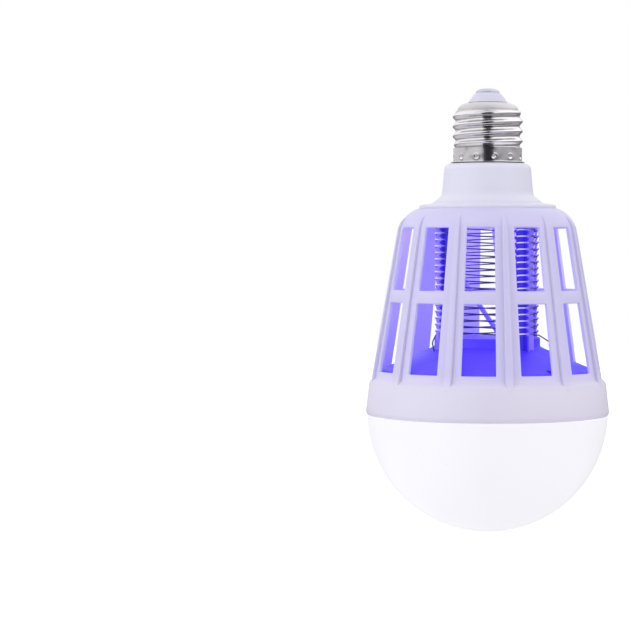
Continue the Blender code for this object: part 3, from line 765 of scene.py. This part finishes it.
def cutWindows(piece):
    bay = math.tau / cage["bays"]

    def fromMiddle(spot):
        # the turn between a point and the middle of its bay
        return (math.atan2(spot.y, spot.x) - front + bay / 2) % bay - bay / 2

    # the columns nearest each window's sides move onto them
    sideZ = cage["sideZ"]
    columns = math.asin(windowHalf(sideZ) / wallRadius(sideZ)) / bay * cage["columns"]
    sideTurn = round(columns) * bay / cage["columns"]
    for spot in piece.data.vertices:
        height = spot.co.z
        if not cage["lowerFootZ"] - tiny < height < cage["upperTopZ"] + tiny:
            continue
        turn = fromMiddle(spot.co)
        centre = math.atan2(spot.co.y, spot.co.x) - turn
        radius = math.hypot(spot.co.x, spot.co.y)
        wanted = math.asin(windowHalf(height) / radius)
        if abs(turn) <= sideTurn + tinyTurn:
            turn *= wanted / sideTurn
        else:
            rest = (abs(turn) - sideTurn) / (bay / 2 - sideTurn)
            turn = math.copysign(wanted + (bay / 2 - wanted) * rest, turn)
        spot.co = around(radius, centre + turn, height)
    onlySelect(piece)
    for face in piece.data.polygons:
        height = face.center.z
        inUpper = cage["upperTopZ"] > height > cage["upperFootZ"]
        inLower = cage["lowerTopZ"] > height > cage["lowerFootZ"]
        across = abs(fromMiddle(face.center)) * wallRadius(height) < windowHalf(height)
        face.select = across and (inUpper or inLower)
    setMode("EDIT")
    bpy.ops.mesh.delete(type="FACE")
    bpy.ops.mesh.select_all(action="SELECT")
    bpy.ops.mesh.normals_make_consistent(inside=False)
    setMode("OBJECT")


def wallDepth(spot):
    # how deep in the wall a point lies, from 0 outside to 1 inside
    radius = math.hypot(spot.x, spot.y)
    if spot.z > cage["shoulderZ"]:
        centre = shoulderCentre()
        inward = cage["shoulderArc"] - math.hypot(radius - centre[0], spot.z - centre[1])
    else:
        inward = (wallRadius(spot.z) - radius) * math.cos(math.radians(cage["taperDeg"]))
    return min(max(inward / cage["wall"], 0.0), 1.0)


def cageShell():
    sides = cage["bays"] * cage["columns"]
    piece = lathe("cage", cageOutline(), sides, ends="open")
    cutWindows(piece)
    addWall(piece, cage["wall"], even=True)
    addBevel(piece, cage["edge"], 2, 50)
    applyModifiers(piece)
    facesOut(piece)
    markPoints(piece, "depth", wallDepth)
    return piece


fin = {
    "edge": 0.30 * mm,
    "sunk": 0.9 * mm,
    # height, lift off the rib and width in mm
    "sections": (
        (-47.4, 0.15, 0.5), (-48.6, 0.55, 1.1), (-50.0, 0.8, 1.6), (-52.0, 0.9, 1.85),
        (-56.0, 0.95, 1.95), (-66.0, 1.0, 2.1), (-77.0, 1.05, 2.3), (-88.0, 1.1, 2.5),
        (-99.0, 1.15, 2.65), (-106.5, 1.2, 2.75), (-108.6, 1.4, 2.6), (-110.2, 1.4, 1.9),
        (-111.8, 1.2, 0.7),
    ),
    "ledgeLoss": 1.9,  # lift lost on the ledge, and the least lift that is left, in mm
    "least": 0.12,
}


def finSections():
    sections = []
    for height, lift, width in fin["sections"]:
        z = height * mm
        if z > cage["shoulderZ"]:
            base = shoulderPoint(z)
        elif z > cage["wallFootZ"]:
            base = wallRadius(z)
        else:
            share = min(1.0, (cage["wallFootZ"] - z) / (cage["wallFootZ"] - cage["ringTopZ"]))
            base = wallRadius(cage["wallFootZ"]) + cage["ledge"] * share
            lift = max(lift - fin["ledgeLoss"] * share, fin["least"])
        sections.append((base, z, lift * mm, width * mm))
    return sections


def ribFin():
    # one fin, extruded section by section along the rib that it stands on, facing +X
    sunk = fin["sunk"]
    piece = newPiece("fin", bpy.ops.mesh.primitive_plane_add, size=1, location=(0, 0, 0))
    sections = finSections()
    base, z, lift, width = sections[0]
    corners = ((-sunk, -0.5), (lift, -0.5), (-sunk, 0.5), (lift, 0.5))
    for spot, (out, sideways) in zip(piece.data.vertices, corners):
        spot.co = (base + out, sideways * width, z)
    editAll(piece)
    for before, (base, z, lift, width) in zip(sections, sections[1:]):
        step = (base - before[0], 0, z - before[1])
        bpy.ops.mesh.extrude_region_move(TRANSFORM_OT_translate={"value": step})
        grow = ((lift + sunk) / (before[2] + sunk), width / before[3], 1)
        bpy.ops.transform.resize(value=grow, center_override=(base - sunk, 0, z))
    facesOut(piece)
    addBevel(piece, fin["edge"], 3, 50)
    applyModifiers(piece)
    return piece


def fullCage():
    shell = cageShell()
    rib = ribFin()
    bay = math.tau / cage["bays"]
    fins = []
    for i in range(cage["bays"]):
        turn = front + bay / 2 + bay * i
        fins.append(copied(rib, f"fin{i}", Matrix.Rotation(turn, 4, "Z")))
    bpy.data.objects.remove(rib, do_unlink=True)
    piece = joined([shell, *fins], "cage")
    finished(piece, cageWhite, "cage", 40)


fullCage()
print("cage made")


# grid posts and the two wires wound round them

grid = {
    "postCircle": 20.9 * mm,
    "posts": 4,
    "plateUnderZ": -49.3 * mm,
    "halfWidth": 4.1 * mm,
    "thickness": 1.2 * mm,
    "finWidth": 1.1 * mm,
    "finReach": 1.7 * mm,
    "teeth": 17,
    "toothSlices": 10,
    "notch": 0.45 * mm,
    "scallop": (1.3, 0.6),
    "finNotch": 2.2,
    "postEdge": 0.12 * mm,
    "endGap": (0.1 * mm, 0.15 * mm),  # left under the top plate and over the floor
    "paintedLightSpread": 2.4 * mm,
    "wire": 0.25 * mm,
    "pitch": 2.39 * mm,
    "wires": 2,
    "rearDrop": 0.87 * mm,
    "topDrop": 1.6 * mm,
    "bossGap": 1.85 * mm,
    # the wire's loop round a post's edge: past the edge, out and down, in mm
    "loop": (
        (-0.2, -1.0, 0.72), (0.65, -0.75, 0.80), (1.1, -0.25, 0.70),
        (1.05, 0.35, 0.34), (0.45, 0.85, 0.08),
    ),
    "faceGap": 0.45 * mm,
    "faceInset": 0.35 * mm,
    # radius in mm, turn in degrees and share of the way down to the floor
    "tails": (
        ((21.2, -22, 0.12), (23.6, 0.5, 0.55), (25.8, 4.2, 0.78), (26.3, 4.6, 1.0)),
        ((20.6, -152, 0.10), (21.9, -148, 0.25), (23.2, -146, 0.5), (23.3, -144.5, 0.72),
         (22.9, -144, 1.0)),
    ),
    "wireEnd": 1 * mm,
    # the painted highlight on the wire: below the lowest crossing, out from the post and aside
    "glintDrop": 1.7 * mm,
    "glintOut": (0.5 * mm, 1.7 * mm),
    "glintAside": (-4.6 * mm, -0.7 * mm),
}
tray = {
    "bossRadius": 19.7 * mm,
    "bossTopZ": -92.75 * mm,
    "bossFootZ": -96.25 * mm,
    "bossRound": 0.5 * mm,
    "bossEdge": 0.7 * mm,
    "rimRadius": 40.1 * mm,
    "rimZ": -105.1 * mm,
    "flangeZ": -110.2 * mm,
    "wall": 1.6 * mm,
    "bossUnder": 1.9 * mm,
    "coneRows": 12,
    "drain": (37.7 * mm, -49.0, 1.25 * mm),  # radius, turn in degrees and size
    "drillLength": 8 * mm,
}
wireStep = grid["pitch"] * grid["wires"] / grid["posts"]


def floorZ(radius):
    share = (radius - tray["bossRadius"]) / (tray["rimRadius"] - tray["bossRadius"])
    return tray["bossFootZ"] + (tray["rimZ"] - tray["bossFootZ"]) * share


def postTurn(index):
    return -math.pi / 4 + math.tau * index / grid["posts"]


def crossings():
    # where the wires pass the posts, from the lowest up, one step for each post passed
    lowest = tray["bossTopZ"] + grid["bossGap"]
    room = grid["plateUnderZ"] - grid["topDrop"] - lowest
    return [lowest + wireStep * i for i in range(int(room / wireStep) + 1)]


def postDrop(index):
    # the notches of the two posts at the back sit a little lower
    return grid["rearDrop"] if index % grid["posts"] in (1, 2) else 0.0


def openTooth(name, size, place):
    # a sliced block without its ends, so that no faces are left between one tooth and the next
    tooth = newPiece(name, bpy.ops.mesh.primitive_cube_add, size=1, location=place, scale=size)
    applyPlace(tooth)
    setMode("EDIT")
    slices = grid["toothSlices"]
    for step in range(1, slices):
        bpy.ops.mesh.select_all(action="SELECT")
        cutZ = grid["pitch"] * (step / slices - 0.5)
        bpy.ops.mesh.bisect(plane_co=(0, 0, cutZ), plane_no=(0, 0, 1))
    bpy.ops.mesh.select_mode(type="FACE")
    bpy.ops.mesh.select_all(action="DESELECT")
    setMode("OBJECT")
    for face in tooth.data.polygons:
        face.select = abs(face.normal.z) > 0.9
    setMode("EDIT")
    bpy.ops.mesh.delete(type="FACE")
    bpy.ops.mesh.select_mode(type="VERT")
    setMode("OBJECT")
    return tooth


def scallopDepth(height):
    # a round scallop between two teeth
    widen, power = grid["scallop"]
    share = min(abs(height) / (grid["pitch"] / 2) * widen, 1.0)
    return grid["notch"] * math.cos(share * math.pi / 2) ** power


def stackTeeth(tooth):
    stack = tooth.modifiers.new("stack", "ARRAY")
    stack.count = grid["teeth"]
    stack.use_relative_offset = False
    stack.use_constant_offset = True
    stack.constant_offset_displace = (0, 0, grid["pitch"])
    stack.use_merge_vertices = True
    stack.merge_threshold = 10 * tiny
    applyModifiers(tooth)
    editAll(tooth)
    bpy.ops.mesh.fill_holes(sides=0)
    setMode("OBJECT")


def gridPost():
    # teeth of the flat plate and of the fin on it, stacked up the post
    pitch, finReach = grid["pitch"], grid["finReach"]
    reach = grid["thickness"] / 2 + finReach
    plateSize = (grid["halfWidth"] * 2, grid["thickness"], pitch)
    plate = openTooth("plateTooth", plateSize, (0, 0, 0))
    finTooth = openTooth(
        "finTooth", (grid["finWidth"], finReach, pitch), (0, reach - finReach / 2, 0)
    )
    for spot in plate.data.vertices:
        spot.co.x -= math.copysign(scallopDepth(spot.co.z), spot.co.x)
    for spot in finTooth.data.vertices:
        if spot.co.y > reach * 0.9:
            spot.co.y -= scallopDepth(spot.co.z) * grid["finNotch"]
    for tooth in (plate, finTooth):
        stackTeeth(tooth)
    return joined([plate, finTooth], "postTeeth")


def gridPosts():
    model = gridPost()
    turnsApart = grid["posts"] // grid["wires"]
    topGap, footGap = grid["endGap"]
    for index in range(grid["posts"]):
        own = [
            height - postDrop(index) for i, height in enumerate(crossings())
            if (i + index) % turnsApart == 0
        ]
        turn = postTurn(index)
        stand = Matrix.Translation(around(grid["postCircle"], turn, own[0]))
        stand = stand @ Matrix.Rotation(turn - math.pi / 2, 4, "Z")
        post = copied(model, f"gridPost{index + 1}", stand)
        # plain ends run from the teeth to the top plate and down to the sloping floor
        bottom = own[0] - grid["pitch"] / 2
        top = own[0] + grid["pitch"] * (grid["teeth"] - 0.5)
        for spot in post.data.vertices:
            if spot.co.z < bottom + 10 * tiny:
                spot.co.z = floorZ(math.hypot(spot.co.x, spot.co.y)) + footGap
            elif spot.co.z > top - 10 * tiny:
                spot.co.z = grid["plateUnderZ"] - topGap
        facesOut(post)
        addBevel(post, grid["postEdge"], 2, 40)
        applyModifiers(post)
        sideways = Vector((-math.sin(turn), math.cos(turn), 0))
        facing = math.copysign(1, sideways.x * math.cos(turn))
        # marks which half of the post takes the painted light
        markPoints(
            post, "side", lambda spot: 0.5 + facing * spot.dot(sideways) / grid["paintedLightSpread"]
        )
        finished(post, postPaintedViolet, f"grid_post_{index + 1}", 40)
    bpy.data.objects.remove(model, do_unlink=True)


def wireRoute(index):
    # over the face of each post, with a loop down round its edge to the straight runs
    lastPost = index * grid["posts"] // grid["wires"]
    edge = grid["halfWidth"] - grid["notch"]
    face = grid["thickness"] / 2 + grid["faceGap"] + grid["wire"]
    loop = [(edge + side * mm, out * mm, drop * mm) for side, out, drop in grid["loop"]]
    loop.append((edge - grid["faceInset"], face, 0.0))
    lap = [(-side, out, drop) for side, out, drop in loop] + loop[::-1]
    points = []
    for i, height in reversed(list(enumerate(crossings()))):
        turn = postTurn(lastPost - i)
        outward = around(1, turn, 0)
        sideways = Vector((-outward.y, outward.x, 0))
        for side, out, drop in lap:
            point = outward * (grid["postCircle"] + out) + sideways * side
            point.z = height - postDrop(lastPost - i) - drop
            points.append(point)
    top = Vector((points[0].x, points[0].y, grid["plateUnderZ"] + grid["wireEnd"]))
    return [top, *points, *wireTail(index)]


def wireTail(index):
    startZ = crossings()[0]
    points = []
    for radius, turnDeg, share in grid["tails"][index]:
        height = startZ + (floorZ(radius * mm) - startZ) * share
        points.append(around(radius * mm, math.radians(turnDeg), height))
    return rounded(points, 5) + [points[-1] - Vector((0, 0, grid["wireEnd"]))]


def paintedGlintShare(spot):
    # 1 where the wire carries a painted highlight over a post, and 0 elsewhere
    turn = math.atan2(spot.y, spot.x)
    nearest = round((turn - postTurn(0)) / (math.tau / grid["posts"]))
    off = turn - postTurn(nearest)
    far = math.hypot(spot.x, spot.y)
    out, aside = far * math.cos(off) - grid["postCircle"], far * math.sin(off)
    onPost = spot.z > crossings()[0] - grid["glintDrop"]
    nearFace = grid["glintOut"][0] < out < grid["glintOut"][1]
    glints = onPost and nearFace and grid["glintAside"][0] < aside < grid["glintAside"][1]
    return 1.0 if glints else 0.0


def gridWires():
    for index, node in enumerate(("live_grid_wire", "return_grid_wire")):
        piece = tubeAlong(f"gridWire{index + 1}", wireRoute(index), grid["wire"], 2)
        markPoints(piece, "paintedGlint", paintedGlintShare)
        finished(piece, gridSteel, node, 60)


leads = {
    "radius": 0.9 * mm,
    "lap": 1.5 * mm,
    # x and y in mm, and share of the way from the top plate to the boss
    "routes": (
        ((1.4, 11.2, 0.0), (3.3, 11.2, 0.38), (6.0, 10.5, 0.78), (6.8, 10.0, 1.0)),
        ((-11.2, -3.0, 0.0), (-11.1, -3.0, 0.30), (-8.4, -3.0, 0.51), (-2.5, -3.0, 0.73),
         (3.4, -3.0, 0.93), (4.6, -3.0, 1.0)),
    ),
    "slots": ("lead_red", "lead_white"),
}


def ledLeads():
    topZ = grid["plateUnderZ"]
    drop = tray["bossTopZ"] - topZ
    lap = Vector((0, 0, leads["lap"]))
    for index, route in enumerate(leads["routes"]):
        points = [Vector((x * mm, y * mm, topZ + drop * share)) for x, y, share in route]
        line = [points[0] + lap, *rounded(points, 6), points[-1] - lap]
        piece = tubeAlong(f"ledLead{index + 1}", line, leads["radius"], 3)
        finished(piece, leadSleeve, f"led_lead_{index + 1}", 60)


gridPosts()
gridWires()
ledLeads()
print("grid made")


# floor tray

def trayOutline():
    rim, boss, wall = tray["rimRadius"], tray["bossRadius"], tray["wall"]
    topZ, footZ = tray["bossTopZ"], tray["bossFootZ"]
    size, edge = tray["bossRound"], tray["bossEdge"]
    outline = [(pole, topZ), (boss - edge, topZ)]
    outline += arcPoints((boss - size, topZ - size), (size, size), 80, 10, 3)
    outline += [(boss, topZ - edge), (boss, footZ + 0.45 * mm)]
    # a small fillet where the boss meets the cone
    outline += [(boss + 0.12 * mm, footZ + 0.12 * mm), (boss + 0.5 * mm, footZ - 0.16 * mm)]
    for row in range(1, tray["coneRows"]):
        radius = boss + (rim - boss) * row / tray["coneRows"]
        outline.append((radius, floorZ(radius)))
    outline += [(rim - 0.35 * mm, floorZ(rim - 0.35 * mm)), (rim, tray["rimZ"] - 0.3 * mm)]
    # the flange at the rim, and the underside
    outline += [(rim, tray["flangeZ"]), (rim - wall, tray["flangeZ"])]
    outline += [(rim - wall, tray["rimZ"] - wall), (boss - wall, footZ - tray["bossUnder"])]
    outline += [(boss - wall, topZ - wall), (pole, topZ - wall)]
    return outline


def floorTray():
    piece = lathe("floorTray", trayOutline(), sides=120, ends="poles")
    radius, turnDeg, size = tray["drain"]
    hole = around(radius, math.radians(turnDeg), floorZ(radius))
    drill = newPiece(
        "drill", bpy.ops.mesh.primitive_cylinder_add,
        vertices=24, radius=size, depth=tray["drillLength"], location=hole,
    )
    applyPlace(drill)
    cutOut(piece, drill)
    finished(piece, paintedVioletLight, "floor_tray", 30)


floorTray()
print("tray made")


# opal dome

dome = {
    "radius": 44.92 * mm,
    "topZ": -122.0 * mm,
    "rise": 1.3 * mm,
    "edge": 0.15 * mm,
    "wall": 1.6 * mm,
    "spigot": 42.4 * mm,
    "spigotZ": -117.2 * mm,
    "spigotDip": 0.02 * mm,
    "startShare": 1.4,  # the curve starts just under the edge and ends almost at the pole
    "endDeg": -89.4,
}


def opalDome():
    size, topZ, edge = dome["radius"], dome["topZ"], dome["edge"]
    centre = (0, topZ + dome["rise"])
    start = -math.degrees(math.asin(dome["rise"] / size))
    outline = [(dome["spigot"], dome["spigotZ"]), (dome["spigot"], topZ - dome["spigotDip"])]
    outline += [(size - edge, topZ), (size, topZ - edge)]
    outline += arcPoints(centre, (size, size), start * dome["startShare"], dome["endDeg"], 44)
    piece = lathe("opalDome", outline, sides=160, ends="poles")
    addWall(piece, dome["wall"])
    applyModifiers(piece)
    facesOut(piece)
    finished(piece, opalPlastic, "opal_dome", 40)


opalDome()
print("dome made")


# CAD parts that keep their shape and take a finish

carried = {
    "grid_top_plate": whitePlastic,
    "contact_lead": redSleeve,
    "shell_lead": whiteSleeve,
    "driver_board": boardBrown,
    "transformer": yellowTape,
    "bridge_rectifier": blackPlastic,
    "reservoir_capacitor": blackPlastic,
    "film_capacitor": redDip,
    "hv_capacitor": blueDip,
    "line_choke": blackPlastic,
    "uv_board": boardWhite,
    "uv_led_": ledViolet,
    "led_board": boardWhite,
    "white_led_": phosphor,
    "board_screw_": screwSteel,
}
for name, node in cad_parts.items():
    for start, material in carried.items():
        if name == start or (start.endswith("_") and name.startswith(start)):
            node.data.materials.clear()
            node.data.materials.append(material)
print("carried parts finished")


# floor, backdrop, lights and camera

studio = {
    "floorZ": -0.285,
    "floorSize": 8.0,
    "floorColour": (0.86, 0.86, 0.87),
    "floorLift": 0.62,
    "worldColour": (0.93, 0.94, 1.0),
    "worldLight": 0.655,
    "cameraAway": 0.808,
    "cameraZ": -0.0587,
    "cameraTurn": 4.2,  # this and the next two in degrees
    "lookLeft": 4.577,
    "lookDown": 1.836,
    "lens": 123.0,
    "aim": (0, 0, -0.08),
    # place, size, power and colour
    "lamps": {
        "leftSoft": ((-0.90, -0.56, 0.15), (0.9, 1.1), 4.85, (0.95, 0.96, 1.0)),
        "rightSoft": ((0.88, -0.36, 0.1), (0.8, 1.1), 2.95, (1, 1, 1)),
        "topSoft": ((0.0, -0.1, 0.75), (0.8, 0.8), 1.5, (1, 1, 1)),
    },
    "violet": (0.58, 0.51, 1.0),
    "violetSize": 2.5 * mm,
    "violetRadius": 12.5 * mm,
    "violetLevels": ((-58 * mm, 0.0047), (-83 * mm, 0.0018)),  # height and power
    "violetTurns": (45, 135, 225, 315),
}
# how bright metal's surroundings are: from and to along one axis, and the level at each end
reflected = {
    "strip": (0.93, 0.98, 1.0, 0.04),
    "stripTop": (0.88, 0.98, 0.0, 1.0),
    "low": (-0.5, 0.5, 0.70, 0.43),
    "rise": (0.06, 0.42, 0.0, 1.0),
    "high": (-0.4, 0.4, 1.10, 1.30),
    "crown": (0.86, 0.98, 0.0, 1.0),
    "crownLevel": 0.80,
    "horizon": (-0.07, 0.0, 0.0, 1.0),
    "under": (-0.45, -0.22, 0.95, 0.42),
    "stripTurn": 1.5,
}


def studioFloor():
    floor = newPiece(
        "floor", bpy.ops.mesh.primitive_plane_add,
        size=studio["floorSize"], location=(0, 0, studio["floorZ"]),
    )
    material, tree, shader = newMaterial("floorWhite", studio["floorColour"], 0.6)
    varied(tree, shader, studio["floorColour"], 0.01, 3)
    # the camera sees the lit floor as white, and the shadow on it stays
    glowing(shader, (1, 1, 1), 0)
    path = tree.nodes.new("ShaderNodeLightPath")
    lift = maths(tree, "MULTIPLY", path.outputs["Is Camera Ray"], studio["floorLift"])
    tree.links.new(lift, shader.inputs["Emission Strength"])
    # seen from below it is clear, so that the underside can be looked at
    under = tree.nodes.new("ShaderNodeNewGeometry").outputs["Backfacing"]
    clear = tree.nodes.new("ShaderNodeBsdfTransparent").outputs["BSDF"]
    either = mixedShader(tree, under, shader.outputs["BSDF"], clear)
    tree.links.new(either, tree.nodes["Material Output"].inputs["Surface"])
    floor.data.materials.append(material)
    floor.visible_glossy = False


def reflectedLight(tree):
    # what metal reflects: brighter above and on the left, and a dark strip in front
    x, y, z = placeParts(tree, "Generated")

    def product(first, second):
        return maths(tree, "MULTIPLY", first, second)

    def total(first, second):
        return maths(tree, "ADD", first, second)

    def larger(first, second):
        return maths(tree, "MAXIMUM", first, second)

    def level(value, name):
        return spread(tree, value, *reflected[name])

    def blended(first, second, share):
        rest = product(first, maths(tree, "SUBTRACT", 1.0, share))
        return total(rest, product(share, second))

    flat = maths(tree, "SQRT", total(product(x, x), product(y, y)))
    turn = math.radians(studio["cameraTurn"] + reflected["stripTurn"])
    ahead = total(product(x, math.sin(turn)), product(y, -math.cos(turn)))
    ahead = maths(tree, "DIVIDE", ahead, larger(flat, 0.01))
    # the strip ends below the zenith
    strip = larger(level(ahead, "strip"), level(z, "stripTop"))
    bright = blended(level(x, "low"), level(x, "high"), level(z, "rise"))
    bright = blended(bright, reflected["crownLevel"], level(z, "crown"))
    # a dark line along the horizon and a greyer floor under it
    under = larger(level(z, "horizon"), level(z, "under"))
    return product(product(bright, under), strip)


def studioWorld():
    world = bpy.data.worlds.new("studio")
    bpy.context.scene.world = world
    world.use_nodes = True
    tree = world.node_tree
    tree.nodes.clear()
    path = tree.nodes.new("ShaderNodeLightPath")
    surface = None
    # the light on the object, then what the camera sees, then what metal reflects
    for ray, colour, strength in (
        (None, studio["worldColour"], studio["worldLight"]),
        ("Is Camera Ray", (1, 1, 1), 1.0),
        ("Is Glossy Ray", (1, 0.99, 1), reflectedLight(tree)),
    ):
        shade = tree.nodes.new("ShaderNodeBackground")
        shade.inputs["Color"].default_value = (*colour, 1)
        feed(tree, shade.inputs["Strength"], strength)
        shade = shade.outputs["Background"]
        surface = mixedShader(tree, path.outputs[ray], surface, shade) if ray else shade
    end = tree.nodes.new("ShaderNodeOutputWorld")
    tree.links.new(surface, end.inputs["Surface"])


def softLamp(name, place, size, power, colour):
    lamp = bpy.data.lights.new(name, "AREA")
    lamp.shape = "RECTANGLE"
    lamp.size, lamp.size_y = size
    lamp.energy = power
    lamp.color = colour
    holder = inScene(name, lamp, place)
    aim = Vector(studio["aim"]) - Vector(place)
    holder.rotation_euler = aim.to_track_quat("-Z", "Y").to_euler()
    holder.visible_glossy = False


def violetLamp(name, place, power):
    lamp = bpy.data.lights.new(name, "POINT")
    lamp.energy = power
    lamp.color = studio["violet"]
    lamp.shadow_soft_size = studio["violetSize"]
    inScene(name, lamp, place).visible_glossy = False


def lights():
    for name, values in studio["lamps"].items():
        softLamp(name, *values)
    # inside the grid, clear of the two leads
    for level, (height, power) in enumerate(studio["violetLevels"]):
        for turnDeg in studio["violetTurns"]:
            place = around(studio["violetRadius"], math.radians(turnDeg), height)
            violetLamp(f"violetGlow{level}{turnDeg}", place, power)


def camera():
    lensBody = bpy.data.cameras.new("camera")
    lensBody.lens = studio["lens"]
    lensBody.sensor_width = 36
    lensBody.clip_end = 30
    turn = math.radians(studio["cameraTurn"])
    away = studio["cameraAway"]
    place = (away * math.sin(turn), -away * math.cos(turn), studio["cameraZ"])
    holder = inScene("camera", lensBody, place)
    tilt = math.radians(90 - studio["lookDown"])
    holder.rotation_euler = (tilt, 0, turn + math.radians(studio["lookLeft"]))
    bpy.context.scene.camera = holder


studioFloor()
studioWorld()
lights()
camera()
bpy.context.scene.view_settings.view_transform = "Standard"
print("studio made")
